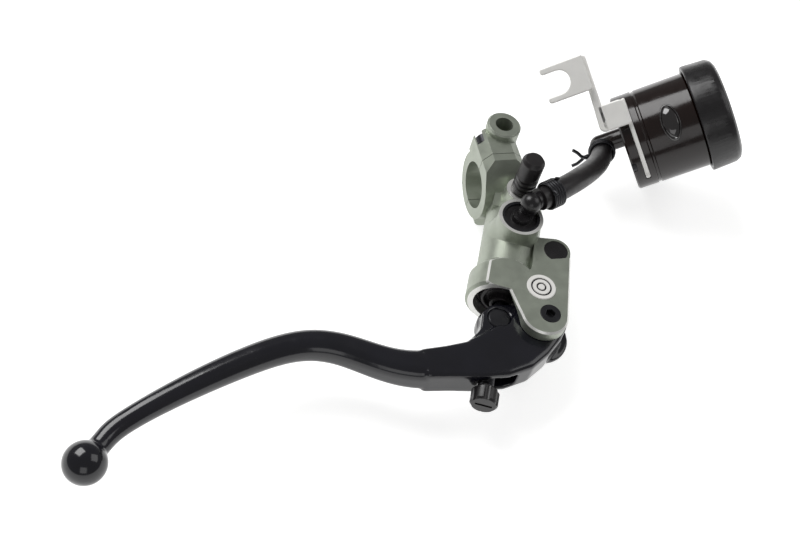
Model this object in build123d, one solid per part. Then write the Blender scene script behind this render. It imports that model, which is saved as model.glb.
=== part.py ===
from build123d import *
import math
import os

# Radial brake master cylinder with hand lever, remote fluid reservoir, feed hose and
# reservoir bracket.  Millimetres.  +X runs along the handlebar towards the lever tip, +Y points
# away from the rider, +Z is the top.  The origin is on the handlebar axis, inside the clamp bore.

# ---- driving dimensions ------------------------------------------------------------------------
# handlebar clamp
bar_radius = 11.1
clamp_wall = 5.1
clamp_face_x = 10.0
clamp_width = 11.0
clamp_split = 0.3
clamp_top = 21.6
pinch_places = ((5.4, 16.4), (4.6, -13.9))
pinch_thread_radius = 2.5
pinch_thread_depth = 5.5
pinch_head_radius = 4.2
pinch_head_height = 5.0
pinch_head_seat = 9.5
pinch_lug_radius = 4.3
pinch_lug_depth_case = 10.5
pinch_clearance = 0.15
lug_depth_case = 12.0
lug_depth_cap = 15.5
mirror_x = -3.1
mirror_y = -14.8
mirror_top = 25.0
mirror_boss_radius = 8.0
mirror_thread_radius = 4.2
mirror_thread_depth = 13.0

# cylinder bore, measured along the piston axis from the foot of the lever pivot
piston_angle = 23.6
bore_radius = 9.5
barrel_wall = 3.5
bore_end = -60.5
barrel_end = -64.0
stop_face = -17.0
mouth_face = -7.5
mouth_radius = 11.9
mouth_outer_radius = 15.6
case_half_height = 13.0

# lever pivot
pivot_x = 0.95
pivot_y = 82.96
lever_arm = 20.0
ear_gap_half = 7.6
ear_tip_radius = 10.4
pivot_bolt_radius = 4.0
pivot_head_radius = 4.5
pivot_head_depth = 2.2
pivot_thread_radius = 3.0
bush_radius = 5.5

# lever travel and barrel nut
lever_travel = 18.0
nut_radius = 4.9
nut_bottom = -6.9
nut_top = 4.9
nut_boss_top = 5.2
nut_boss_foot_radius = 8.6
nut_boss_foot_top = -0.8
hub_radius = 9.6
hub_half_height = 7.5
lever_half_height = 7.2
heel_radius = 13.0
heel_bottom = -7.4
heel_top = -4.7
lever_ball_radius = 8.5

# pushrod and adjuster
rod_radius = 2.95
rod_neck_radius = 2.3
rod_ball_radius = 3.1
rod_ball_at = -21.0
knob_radius = 5.9
knob_from = 37.6
knob_to = 44.6
knob_lobes = 6

# piston
piston_nose = -49.0
piston_tail = -17.2
piston_waist_radius = 6.6
primary_groove = (-47.6, -44.2)
primary_groove_radius = 5.6
secondary_groove = (-24.6, -21.8)
secondary_groove_radius = 6.2
spring_wire = 1.1
spring_coils = 4
spring_radius = 6.2

# ports on the case
feed_at = -42.7
feed_rim = 20.0
feed_outer_radius = 10.1
feed_inner_radius = 8.6
feed_floor = 11.4
outlet_x = -12.7
outlet_y = 49.6
outlet_boss_radius = 6.7
outlet_face = 11.4
outlet_thread_radius = 4.5
outlet_plug_radius = 5.4
bleeder_x = -4.3
bleeder_y = 18.4
bleeder_face = 17.0
bleeder_boss_radius = 7.8
bleeder_thread_radius = 3.9
bleed_cap_radius = 5.3
bleed_cap_top = 38.0
badge_x = 0.9
badge_y = 69.2
badge_radius = 6.5

# feed hose
hose_radius = 5.15
hose_bore_radius = 3.3
spigot_radius = 3.2
spigot_bore_radius = 2.2
elbow_knuckle = (-1.46, 33.4, 26.0)
elbow_heading = 202.0
elbow_reach = 12.5
elbow_barb_gap = 5.0
hose_end_gap = 5.1
hose_lead_tank = 17.0
hose_lead_elbow = 24.0
hose_bends = [14.0, 40.0]
tank_spigot_reach = 10.0

# reservoir, in its own frame: axis up through the cap
tank_base = (-73.9, -17.9, 3.6)
tank_elevation = 31.8
tank_azimuth = 175.2
tank_roll = 125.9
tank_radius = 23.75
tank_wall = 2.2
tank_height = 38.0
tank_flange = 4.9
tank_neck_radius = 14.0
cap_radius = 26.7
cap_skirt_from = 36.6
cap_top = 52.0
cap_wall = 2.2
tank_leg = 11.4
tank_leg_offset = -3.6
tank_leg_radius = 4.9
tank_outlet_turn = 60.0

# reservoir bracket, bent from one strip
sheet = 2.0
bracket_half_width = 19.9
bracket_back = -10.0
bracket_reach = 25.4
tab_width = 12.7
tab_length = 12.4
riser_length = 25.6
riser_depth = 5.0
fork_length = 21.4
fork_width = 16.2
fork_slot_width = 9.6
fork_slot_from = 9.4

# clearances
running = 0.04
seat = 0.1
groove_gap = 0.2

# ---- frames and small helpers ------------------------------------------------------------------
clamp_radius = bar_radius + clamp_wall
axis_c = Vector(math.sin(math.radians(piston_angle)), math.cos(math.radians(piston_angle)), 0)
axis_n = Vector(axis_c.Y, -axis_c.X, 0)
pivot = Vector(pivot_x, pivot_y, 0)
foot = pivot + axis_n * lever_arm
nut_lead = math.radians(lever_travel / 2)
nut_arm = lever_arm / math.cos(nut_lead)
nut_at = nut_arm * math.sin(nut_lead)
piston_stroke = 2 * nut_at
lower_left = (Align.CENTER, Align.CENTER, Align.MIN)


def on_axis(along, side=0.0, up=0.0):
    """Point given along the piston axis, to its lever-tip side, and upwards."""
    return foot + axis_c * along + axis_n * side + Vector(0, 0, up)


piston_frame = Plane(origin=foot, x_dir=(0, 0, 1), z_dir=axis_c)
ground = Plane.XY


def turned(frame, outline):
    """Solid of revolution about the frame's z axis, from (radius, height) corners."""
    section_plane = Plane(origin=frame.origin, x_dir=frame.x_dir, z_dir=-frame.y_dir)
    section = section_plane * make_face(Polyline(*outline, close=True))
    return revolve(section, Axis(frame.origin, frame.z_dir), 360)


def drum(frame, radius, low, high):
    """Cylinder about the frame's z axis between two heights."""
    return frame * Pos(0, 0, low) * Cylinder(radius, high - low, align=lower_left)


def pipe(frame, outer, inner, low, high):
    """Tube about the frame's z axis between two heights."""
    return drum(frame, outer, low, high) - drum(frame, inner, low - 1, high + 1)


def block(frame, x_span, y_span, z_span):
    """Box in a frame, from its spans."""
    size = [span[1] - span[0] for span in (x_span, y_span, z_span)]
    middle = [(span[1] + span[0]) / 2 for span in (x_span, y_span, z_span)]
    return frame * Pos(*middle) * Box(*size)


def at(x, y, z=0.0):
    """Upright frame at a point."""
    return Plane(origin=(x, y, z))


def facing(x, y, z, direction):
    """Frame at a point whose z axis follows a direction."""
    return Plane(origin=(x, y, z), z_dir=direction)


def plan_hull(discs, low, high):
    """Prism over the convex outline round several discs given as (x, y, radius)."""
    edges = []
    for x, y, radius in discs:
        edges += (Pos(x, y) * Circle(radius)).edges()
    return extrude(Pos(0, 0, low) * make_hull(edges), high - low)


# ---- case, in one casting with the fixed half of the clamp --------------------------------------
def pinch_frame(place):
    """Frame along the pinch bolt at (x, z), pointing forward."""
    x, z = place
    return facing(x, 0, z, (0, 1, 0))


def clamp_half(side):
    """Half of the clamp with its shoulder above and small lug below; side is +1 on the case."""
    depth = lug_depth_case if side > 0 else lug_depth_cap
    clamp_back_x = clamp_face_x - clamp_width
    ring = drum(facing(clamp_back_x, 0, 0, (1, 0, 0)), clamp_radius, 0, clamp_width)
    lug_x, lug_z = pinch_places[1]
    lug_reach = (-pinch_head_seat, pinch_lug_depth_case)
    ring += drum(pinch_frame(pinch_places[1]), pinch_lug_radius, *lug_reach)
    ring += block(ground, (lug_x - pinch_lug_radius, lug_x + pinch_lug_radius), lug_reach,
                  (lug_z, -bar_radius))
    shoulder = [(clamp_face_x, 8.0), (clamp_face_x, clamp_top - 4.5), (6.0, clamp_top),
                (-4.6, clamp_top), (-8.8, 18.6), (-10.7, 15.0), (-10.7, 11.0),
                (clamp_back_x, 11.0), (clamp_back_x, 8.0)]
    profile = Plane(origin=(0, 0, 0), x_dir=(1, 0, 0), z_dir=(0, -1, 0))
    upper = extrude(profile * make_face(Polyline(*shoulder, close=True)), depth, both=True)
    if side > 0:
        slope = Plane(origin=(0, 4.0, clamp_top), x_dir=(1, 0, 0), z_dir=(0, 0.8, 0.6))
        upper -= block(slope, (-40, 40), (-40, 40), (0, 40))
    ring += upper
    far = clamp_radius + 30
    keep = block(ground, (-far, far), sorted((side * clamp_split / 2, side * far)), (-far, far))
    return ring & keep


def bar_hole():
    return drum(facing(0, 0, 0, (1, 0, 0)), bar_radius, -40, 40)


def cylinder_body():
    barrel_radius = bore_radius + barrel_wall
    body = drum(piston_frame, barrel_radius, barrel_end, stop_face)
    body = fillet(body.edges().sort_by(lambda e: (e.center() - foot).dot(axis_c))[0], 3.5)
    case = plan_hull([(pivot_x + 2.2, pivot_y - 0.4, ear_tip_radius),
                      (outlet_x, outlet_y, outlet_boss_radius), (10.9, 68.8, 4.3),
                      (2.0, 45.0, 5.0)], -case_half_height, case_half_height)
    case = chamfer(case.faces().sort_by(Axis.Z)[-1].edges(), 0.8)
    valley = Plane(origin=on_axis(0), x_dir=axis_n, z_dir=(0, 0, 1))
    for low, high in ((8.6, 20.0), (-20.0, -8.6)):
        scoop = block(valley, (-9.2, 30), (-60, -18.5), (low, high))
        inner_edge = scoop.edges().filter_by(Axis.Z).sort_by_distance(on_axis(-18.5, -9.2))[0]
        case -= fillet(inner_edge, 4.0)
    case -= block(ground, (-40, -1), (30, 55.0), (outlet_face, 20))
    mouth = turned(piston_frame, [(0, -24.0), (barrel_radius - 0.3, -24.0),
                                  (mouth_outer_radius - 0.8, -21.2), (mouth_outer_radius, -19.8),
                                  (mouth_outer_radius, mouth_face - 1.2),
                                  (mouth_outer_radius - 1.2, mouth_face), (0, mouth_face)])
    mouth &= block(ground, (-60, 80), (0, 120), (-case_half_height, case_half_height))
    body += mouth
    body += case
    body += clamp_half(1)
    body += block(Plane(origin=on_axis(barrel_end), x_dir=axis_n, z_dir=(0, 0, 1)),
                  (2.0, 12.0), (-3.0, 9.0), (-9.5, 9.5))
    feed = Plane(origin=on_axis(feed_at))
    body += drum(feed, feed_outer_radius, 0, feed_rim)
    body += turned(feed, [(0, 6), (feed_outer_radius + 2.4, 6), (feed_outer_radius + 1.0, 10.5),
                          (feed_outer_radius, 14), (0, 14)])
    body += drum(at(outlet_x, outlet_y), outlet_boss_radius, -case_half_height + 3, outlet_face)
    bleeder = at(bleeder_x, bleeder_y)
    body += turned(bleeder, [(0, 0), (bleeder_boss_radius + 1.6, 0), (bleeder_boss_radius, 12),
                             (bleeder_boss_radius - 0.6, bleeder_face), (0, bleeder_face)])
    # hollows
    body -= bar_hole()
    body -= drum(piston_frame, bore_radius, bore_end, 0)
    body -= drum(piston_frame, 2.5, bore_end - 2.0, 0)
    body -= drum(piston_frame, mouth_radius, stop_face, 20)
    body -= drum(piston_frame, mouth_radius + 0.8, *ring_groove())
    pocket_back = Plane(origin=on_axis(0), x_dir=axis_n, z_dir=(0, 0, 1))
    gap = (-ear_gap_half, ear_gap_half)
    body -= block(pocket_back, (-60, 0), (-12.5, 60), gap)
    body -= block(pocket_back, (-1, 60), (mouth_face, 60), gap)
    body -= drum(at(pivot_x, pivot_y), heel_radius + 0.7, *gap)
    body -= drum(at(pivot_x, pivot_y), pivot_bolt_radius + running, -case_half_height - 1, 20)
    body -= drum(at(pivot_x, pivot_y), pivot_head_radius + seat,
                 case_half_height - pivot_head_depth, 20)
    body -= drum(feed, feed_inner_radius, feed_floor, feed_rim + 1)
    body -= drum(Plane(origin=on_axis(primary_groove[0] - 0.7)), 0.5, 0, feed_rim)
    body -= drum(Plane(origin=on_axis(feed_at + 5.2)), 1.5, 0, feed_rim)
    body -= drum(at(outlet_x, outlet_y), outlet_thread_radius, outlet_face - 11, 20)
    body -= drum(at(outlet_x, outlet_y), outlet_plug_radius + seat, outlet_face - 1.0, 20)
    gallery_from = Vector(outlet_x, outlet_y, outlet_face - 10)
    gallery_to = on_axis(bore_end + 2.0)
    gallery = Plane(origin=gallery_from, z_dir=gallery_to - gallery_from)
    body -= drum(gallery, 1.5, 0, (gallery_to - gallery_from).length)
    body -= drum(bleeder, bleeder_thread_radius, bleeder_face - 8.5, bleeder_face + 1)
    body -= drum(bleeder, 1.0, 0, bleeder_face)
    body -= drum(at(badge_x, badge_y), badge_radius + seat, case_half_height - 0.8, 20)
    for place in pinch_places:
        body -= drum(pinch_frame(place), pinch_thread_radius, 0, pinch_thread_depth)
    return body


def ring_groove():
    """Start and end of the retaining-ring groove along the bore."""
    return stop_face + 1.1, stop_face + 2.3


def clamp_cap():
    cap = clamp_half(-1)
    mirror = at(mirror_x, mirror_y)
    cap += turned(mirror, [(0, 5.0), (mirror_boss_radius - 3.0, 5.0), (mirror_boss_radius, 10.0),
                           (mirror_boss_radius, mirror_top - 0.7),
                           (mirror_boss_radius - 0.7, mirror_top), (0, mirror_top)])
    cap -= bar_hole()
    cap -= drum(mirror, mirror_thread_radius, mirror_top - mirror_thread_depth, mirror_top + 1)
    for place in pinch_places:
        cap -= drum(pinch_frame(place), pinch_thread_radius + pinch_clearance, -60, 1)
        cap -= drum(pinch_frame(place), pinch_head_radius + pinch_clearance, -60,
                    -pinch_head_seat)
    return cap


def clamp_bolts():
    """Two hexagon socket bolts that close the clamp, their heads let into the cap."""
    bolts = []
    for place in pinch_places:
        frame = pinch_frame(place)
        head_end = -pinch_head_seat - pinch_head_height
        bolt = drum(frame, pinch_thread_radius - 0.02, -pinch_head_seat, pinch_thread_depth - 0.5)
        head = drum(frame, pinch_head_radius, head_end, -pinch_head_seat)
        head = chamfer(head.edges().sort_by(Axis.Y)[0], 0.6)
        socket = frame * Pos(0, 0, head_end - 0.1) * RegularPolygon(2.4, 6)
        bolts.append(bolt + head - extrude(socket, 2.9, dir=(0, 1, 0)))
    return Compound(bolts)


# ---- hydraulic stack ---------------------------------------------------------------------------
def piston():
    land = bore_radius - running
    body = turned(piston_frame, [
        (0, piston_nose), (primary_groove_radius + 1.8, piston_nose),
        (primary_groove_radius + 1.8, primary_groove[0]),
        (primary_groove_radius, primary_groove[0]), (primary_groove_radius, primary_groove[1]),
        (land, primary_groove[1]), (land, primary_groove[1] + 2.0),
        (piston_waist_radius, primary_groove[1] + 3.0),
        (piston_waist_radius, secondary_groove[0] - 3.4),
        (land, secondary_groove[0] - 2.4), (land, secondary_groove[0]),
        (secondary_groove_radius, secondary_groove[0]),
        (secondary_groove_radius, secondary_groove[1]), (land, secondary_groove[1]),
        (land, piston_tail - 0.6), (land - 0.6, piston_tail), (0, piston_tail)])
    socket_radius = rod_ball_radius + 0.4
    body -= Pos(*on_axis(rod_ball_at)) * Sphere(socket_radius)
    body -= turned(piston_frame, [(0, rod_ball_at), (socket_radius, rod_ball_at),
                                  (socket_radius + 1.2, piston_tail + 1), (0, piston_tail + 1)])
    return body


def lip_seal(groove, root_radius, lip_towards):
    """Cup seal in a piston groove; its lip opens towards lip_towards (-1 the closed end)."""
    low, high = groove[0] + groove_gap / 2, groove[1] - groove_gap / 2
    outer = bore_radius - running / 2
    inner = root_radius + running / 2
    front, back = (low, high) if lip_towards < 0 else (high, low)
    into = 1 if lip_towards < 0 else -1
    return turned(piston_frame, [(inner, front), (inner + 0.8, front), (inner + 1.3, front + into * 1.2),
                                 (outer - 1.0, front + into * 1.2), (outer - 0.5, front),
                                 (outer, front), (outer - 0.15, back), (inner, back)])


def return_spring():
    length = piston_nose - bore_end - spring_wire - 0.2
    start = Plane(origin=on_axis(bore_end + spring_wire / 2 + 0.1), x_dir=(0, 0, 1), z_dir=axis_c)
    path = Helix(pitch=length / spring_coils, height=length, radius=spring_radius)
    wire_plane = Plane(origin=path @ 0, z_dir=path % 0)
    coil = sweep(wire_plane * Circle(spring_wire / 2), path=path, is_frenet=True)
    return start * coil


def stop_washer():
    return pipe(piston_frame, mouth_radius - seat, rod_radius + 2.6, stop_face, stop_face + 1.0)


def retaining_ring():
    low, high = ring_groove()
    ring = pipe(piston_frame, mouth_radius + 0.7, mouth_radius - 1.6, low + seat, high - seat)
    return ring - block(piston_frame, (0, 20), (-3.2, 3.2), (low - 1, high + 1))


def dust_boot():
    """Rubber boot: rim behind the mouth, one rolling fold, and a collar round the pushrod."""
    base = ring_groove()[1] + 0.2
    rim = mouth_radius - 0.3
    collar = rod_radius + 0.3
    return turned(piston_frame, [
        (rim, base), (rim, base + 1.8), (rim - 1.6, base + 1.8), (rim - 2.6, base + 4.6),
        (rim - 4.0, base + 5.2), (rim - 5.4, base + 3.2), (collar + 1.5, base + 4.4),
        (collar + 1.5, base + 7.4), (collar, base + 7.4), (collar, base + 3.4),
        (rim - 5.6, base + 2.0), (rim - 4.0, base + 4.0), (rim - 3.4, base + 3.6),
        (rim - 2.4, base)])


# ---- pushrod, adjuster and lever ---------------------------------------------------------------
def pushrod():
    ball = Pos(*on_axis(rod_ball_at)) * Sphere(rod_ball_radius)
    neck = drum(piston_frame, rod_neck_radius, rod_ball_at, nut_at - 8)
    thread = drum(piston_frame, rod_radius, nut_at - 9, knob_from + 0.4)
    return ball + neck + thread


def adjuster_knob():
    body = drum(piston_frame, knob_radius, knob_from, knob_to)
    body = chamfer(body.edges().filter_by(GeomType.CIRCLE), 0.8)
    for step in range(knob_lobes):
        groove_frame = piston_frame * Rot(0, 0, step * 360 / knob_lobes)
        notch = Pos(knob_radius + 1.0, 0, 0) * Cylinder(1.9, 60)
        body -= groove_frame * Pos(0, 0, knob_from) * notch
    collar = drum(piston_frame, rod_radius + 1.3, knob_from - 0.8, knob_from + 0.5)
    body = body + collar - drum(piston_frame, rod_radius + 0.02, knob_from - 4, knob_from + 0.5)
    slot = block(piston_frame, (-0.6, 0.6), (-3.6, 3.6), (knob_to - 1.4, knob_to + 1))
    return body - slot


def nut_place():
    """Upright frame on the barrel nut at rest."""
    return Plane(origin=on_axis(nut_at), x_dir=axis_n, z_dir=(0, 0, 1))


def barrel_nut():
    nut = drum(nut_place(), nut_radius, nut_bottom, nut_top)
    nut = chamfer(nut.edges().filter_by(GeomType.CIRCLE), 0.5)
    return nut - drum(piston_frame, rod_radius + running, -20, 30)


# stations of the lever blade from the root to the neck of the ball: x, y, depth, height
blade_stations = [
    (44.0, 96.7, 15.0, 14.6), (55.0, 96.6, 14.4, 14.3), (67.6, 94.2, 13.6, 13.9),
    (79.3, 88.8, 13.0, 13.4), (90.7, 82.8, 12.7, 13.1), (102.8, 79.7, 12.5, 12.9),
    (115.3, 80.6, 12.2, 12.4), (128.0, 84.0, 11.8, 12.0), (146.7, 90.8, 10.9, 11.1),
    (164.9, 98.7, 9.7, 9.9), (176.8, 104.8, 9.1, 9.2), (186.5, 112.2, 8.8, 8.8)]
lever_ball_at = (194.0, 120.7)


def blade_section(index):
    """Rounded section of the blade across its own line at one station."""
    x, y, depth, height = blade_stations[index]
    before = blade_stations[max(index - 1, 0)]
    after = blade_stations[min(index + 1, len(blade_stations) - 1)]
    heading = Vector(after[0] - before[0], after[1] - before[1], 0).normalized()
    across = Vector(-heading.Y, heading.X, 0)
    share = index / (len(blade_stations) - 1)
    rounding = min(depth, height) * (0.30 + 0.18 * min(1.0, share * 2))
    return Plane(origin=(x, y, 0), x_dir=across, z_dir=heading) * RectangleRounded(
        depth, height, rounding)


def rod_channel(reach_front, reach_back, half_height):
    """Fan-shaped slot that lets the pushrod keep its direction while the lever turns."""
    half = rod_radius + 0.5
    centre = on_axis(nut_at)
    edges = []
    for reach in (reach_front, -reach_back):
        corners = [centre + axis_n * half, centre - axis_n * half]
        for turn, side in ((0, half), (lever_travel, -half)):
            angle = math.radians(piston_angle - turn)
            heading = Vector(math.sin(angle), math.cos(angle), 0)
            beside = Vector(heading.Y, -heading.X, 0)
            corners.append(centre + heading * reach + beside * math.copysign(side, side * reach))
        fan = [(corner.X, corner.Y) for corner in corners]
        hull = make_hull(Polyline(fan[0], fan[1], fan[3], fan[2], close=True).edges())
        edges.append(extrude(Pos(0, 0, -half_height) * hull, 2 * half_height))
    return edges[0] + edges[1]


def lever():
    root_outline = [(60, 103.4), (48, 104.6), (36, 106.3), (24, 106.6), (13, 104.0), (4, 98.4),
                    (-4, 91.4), (-8.3, 83.0), (-3.0, 74.2), (8, 72.6), (16, 71.2), (22, 70.6),
                    (27.2, 74.0), (30.5, 82.6), (38, 88.2), (48, 89.3), (60, 89.8)]
    root = extrude(Pos(0, 0, -lever_half_height) * make_face(Polyline(*root_outline, close=True)),
                   2 * lever_half_height)
    root = fillet(root.edges().filter_by(Axis.Z), 2.4)
    root = fillet(root.faces().sort_by(Axis.Z)[-1].edges(), 2.2)
    root = fillet(root.faces().sort_by(Axis.Z)[0].edges(), 2.2)
    blade = loft([blade_section(index) for index in range(len(blade_stations))])
    body = root + blade
    tail = blade_stations[-1]
    body += Pos(*lever_ball_at, 0) * Sphere(lever_ball_radius)
    neck_heading = Vector(lever_ball_at[0] - tail[0], lever_ball_at[1] - tail[1], 0)
    body += drum(facing(tail[0], tail[1], 0, neck_heading), tail[2] / 2 - 0.05, -0.5,
                 neck_heading.length)
    hub = at(pivot_x, pivot_y)
    body += drum(hub, hub_radius - 0.6, -hub_half_height, hub_half_height)
    body += drum(hub, heel_radius, heel_bottom, heel_top)
    body -= plan_hull([(36, 80, 7.4), (24.6, 75.2, 7.4), (19.0, 72.6, 7.4), (14.6, 66, 6.0)],
                      nut_boss_top, 20)
    body += drum(nut_place(), nut_boss_foot_radius, -lever_half_height + 0.2, nut_boss_foot_top)
    body -= drum(hub, bush_radius, -20, 20)
    body -= drum(nut_place(), nut_radius + running, -20, 20)
    body -= rod_channel(60, 30, rod_radius + 0.75)
    return body


def pivot_bush():
    return pipe(at(pivot_x, pivot_y), bush_radius, pivot_bolt_radius + running,
                -hub_half_height, hub_half_height)


def pivot_bolt():
    hub = at(pivot_x, pivot_y)
    shoulder_end = -case_half_height
    head_top = case_half_height + 0.2
    bolt = drum(hub, pivot_bolt_radius, shoulder_end, head_top - 2.0)
    bolt += drum(hub, pivot_head_radius, case_half_height - pivot_head_depth, head_top)
    bolt += drum(hub, pivot_thread_radius, shoulder_end - 6.0, shoulder_end)
    socket = hub * Pos(0, 0, head_top - 2.6) * RegularPolygon(2.3, 6)
    return bolt - extrude(socket, 4)


def pivot_nut():
    hub = at(pivot_x, pivot_y)
    low = -case_half_height - 5.4
    nut = extrude(hub * Pos(0, 0, low) * RegularPolygon(5.77, 6), 5.4)
    return nut - drum(hub, pivot_thread_radius, low - 1, 0)


# ---- pieces on the case ------------------------------------------------------------------------
def badge_disc():
    disc = drum(at(badge_x, badge_y), badge_radius, case_half_height - 0.8, case_half_height + 0.4)
    return disc - pipe(at(badge_x, badge_y), badge_radius - 1.2, badge_radius - 1.6,
                       case_half_height + 0.15, case_half_height + 2)


def outlet_plug():
    place = at(outlet_x, outlet_y)
    plug = drum(place, outlet_plug_radius, outlet_face - 1.0, outlet_face - 0.1)
    return plug + drum(place, outlet_thread_radius - 0.05, outlet_face - 8.0, outlet_face - 0.5)


def bleed_screw():
    place = at(bleeder_x, bleeder_y)
    screw = drum(place, bleeder_thread_radius - 0.02, bleeder_face - 7.0, bleeder_face)
    screw += turned(place, [(0, bleeder_face - 8.4), (1.2, bleeder_face - 8.4),
                            (bleeder_thread_radius - 0.1, bleeder_face - 6.0),
                            (0, bleeder_face - 6.0)])
    screw += extrude(place * Pos(0, 0, bleeder_face) * RegularPolygon(4.4, 6), 4.0)
    screw += turned(place, [(0, bleeder_face + 4), (2.6, bleeder_face + 4),
                            (2.6, bleeder_face + 9), (2.0, bleeder_face + 10),
                            (2.6, bleeder_face + 12), (1.8, bleeder_face + 15),
                            (0, bleeder_face + 15)])
    return screw - drum(place, 0.9, bleeder_face - 5, bleeder_face + 20)


def bleed_cap():
    """Rubber cap over the bleed screw: ribbed skirt over the hexagon and a plain domed top."""
    place = at(bleeder_x, bleeder_y)
    low = bleeder_face + 0.4
    outline = [(0, bleed_cap_top), (3.4, bleed_cap_top), (4.7, bleed_cap_top - 0.6),
               (bleed_cap_radius, bleed_cap_top - 2.2), (bleed_cap_radius, low + 9.0)]
    for rib in range(3):
        height = low + 8.4 - rib * 2.6
        outline += [(bleed_cap_radius - 0.6, height), (bleed_cap_radius - 0.6, height - 0.8),
                    (bleed_cap_radius, height - 1.2), (bleed_cap_radius, height - 2.2)]
    outline += [(bleed_cap_radius, low), (4.5, low), (4.5, low + 4.2), (2.75, low + 4.8),
                (2.75, low + 15.6), (0, low + 15.6)]
    return turned(place, outline)


# ---- feed elbow, hose and clips ----------------------------------------------------------------
knuckle = Vector(*elbow_knuckle)
elbow_dir = Vector(math.cos(math.radians(elbow_heading)), math.sin(math.radians(elbow_heading)), 0)
elbow_frame = Plane(origin=knuckle, z_dir=elbow_dir)

tank_axis = Vector(math.cos(math.radians(tank_elevation)) * math.cos(math.radians(tank_azimuth)),
                   math.cos(math.radians(tank_elevation)) * math.sin(math.radians(tank_azimuth)),
                   math.sin(math.radians(tank_elevation)))
tank_level = Vector(0, 0, 1).cross(tank_axis).normalized()
tank_rise = tank_axis.cross(tank_level)
tank_front = (tank_level * math.cos(math.radians(tank_roll))
              + tank_rise * math.sin(math.radians(tank_roll)))
tank_frame = Plane(origin=tank_base, x_dir=tank_front, z_dir=tank_axis)


def in_tank(x, y, z):
    """Point given in the reservoir's own frame."""
    return tank_frame.from_local_coords(Vector(x, y, z))


tank_corner = in_tank(0, tank_leg_offset, -tank_leg)
outlet_turn = math.radians(tank_outlet_turn)
tank_outlet = in_tank(math.sin(outlet_turn), tank_leg_offset + math.cos(outlet_turn),
                      -tank_leg) - tank_corner
outlet_frame = Plane(origin=tank_corner, z_dir=tank_outlet)
hose_points = [tank_corner + tank_outlet * hose_end_gap, tank_corner + tank_outlet * hose_lead_tank,
               knuckle + elbow_dir * hose_lead_elbow, knuckle + elbow_dir * elbow_barb_gap]


def feed_elbow():
    feed_point = on_axis(feed_at)
    feed = Plane(origin=feed_point)
    body = turned(feed, [(0, 15.4), (feed_inner_radius - seat, 15.4),
                         (feed_inner_radius - seat, 18.4), (feed_inner_radius - 1.4, 19.2),
                         (4.6, 19.2), (4.0, 21.5), (0, 21.5)])
    body += drum(Plane(origin=(knuckle.X, knuckle.Y, 0)), 3.9, 18, knuckle.Z)
    body += drum(feed, 4.0, feed_floor + 0.1, 16)
    body += Pos(*knuckle) * Sphere(4.7)
    body += drum(elbow_frame, 3.7, 0, elbow_barb_gap - 0.2)
    body += drum(elbow_frame, spigot_radius, 0, elbow_reach)
    body -= drum(elbow_frame, spigot_bore_radius, 0, elbow_reach + 1)
    body -= drum(Plane(origin=feed_point), spigot_bore_radius, feed_floor - 1, 21)
    body -= drum(Plane(origin=(knuckle.X, knuckle.Y, 0)), spigot_bore_radius - 0.4, 17, knuckle.Z)
    return body


def feed_seal():
    feed = Plane(origin=on_axis(feed_at))
    return pipe(feed, feed_inner_radius - 0.05, 4.2, 13.0, 15.2)


def feed_circlip():
    feed_point = on_axis(feed_at)
    towards = Vector(knuckle.X - feed_point.X, knuckle.Y - feed_point.Y, 0)
    feed = Plane(origin=feed_point, x_dir=towards, z_dir=(0, 0, 1))
    ring = pipe(feed, feed_inner_radius - 0.05, feed_inner_radius - 1.3, 19.25, 19.85)
    return ring - block(feed, (0, 20), (-4.8, 4.8), (19, 21))


def feed_hose():
    path = FilletPolyline(*hose_points, radius=hose_bends)
    start = Plane(origin=path @ 0, z_dir=path % 0)
    return (sweep(start * Circle(hose_radius), path=path)
            - sweep(start * Circle(hose_bore_radius), path=path))


def wire_clip(frame, turns, wire, low, tangs):
    """Spring clip of touching wire turns, with two tangs to squeeze it open."""
    ring = None
    for turn in range(turns):
        height = low + wire + turn * (2 * wire - 0.15)
        loop = frame * Pos(0, 0, height) * Torus(hose_radius + 0.1 + wire, wire)
        ring = loop if ring is None else ring + loop
    high = low + wire + (turns - 1) * (2 * wire - 0.15)
    for heading, height, length in zip(tangs, (low + wire, high), (9.0, 6.5)):
        tang = frame * Rot(0, 0, heading) * Pos(hose_radius + wire + 0.1, 0, height)
        tang *= Rot(0, 90, 0)
        ring += tang * Cylinder(wire, length, align=lower_left)
    return ring


def hose_clip_lower():
    frame = Plane(origin=knuckle + elbow_dir * (elbow_barb_gap + 1.2), z_dir=elbow_dir)
    return wire_clip(frame, 4, 0.9, 2.8, (65, 120))


def hose_clip_upper():
    frame = Plane(origin=tank_corner + tank_outlet * (hose_end_gap + 0.6), x_dir=-tank_axis,
                  z_dir=tank_outlet)
    return wire_clip(frame, 2, 0.7, 0, (-28, 24))


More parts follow.
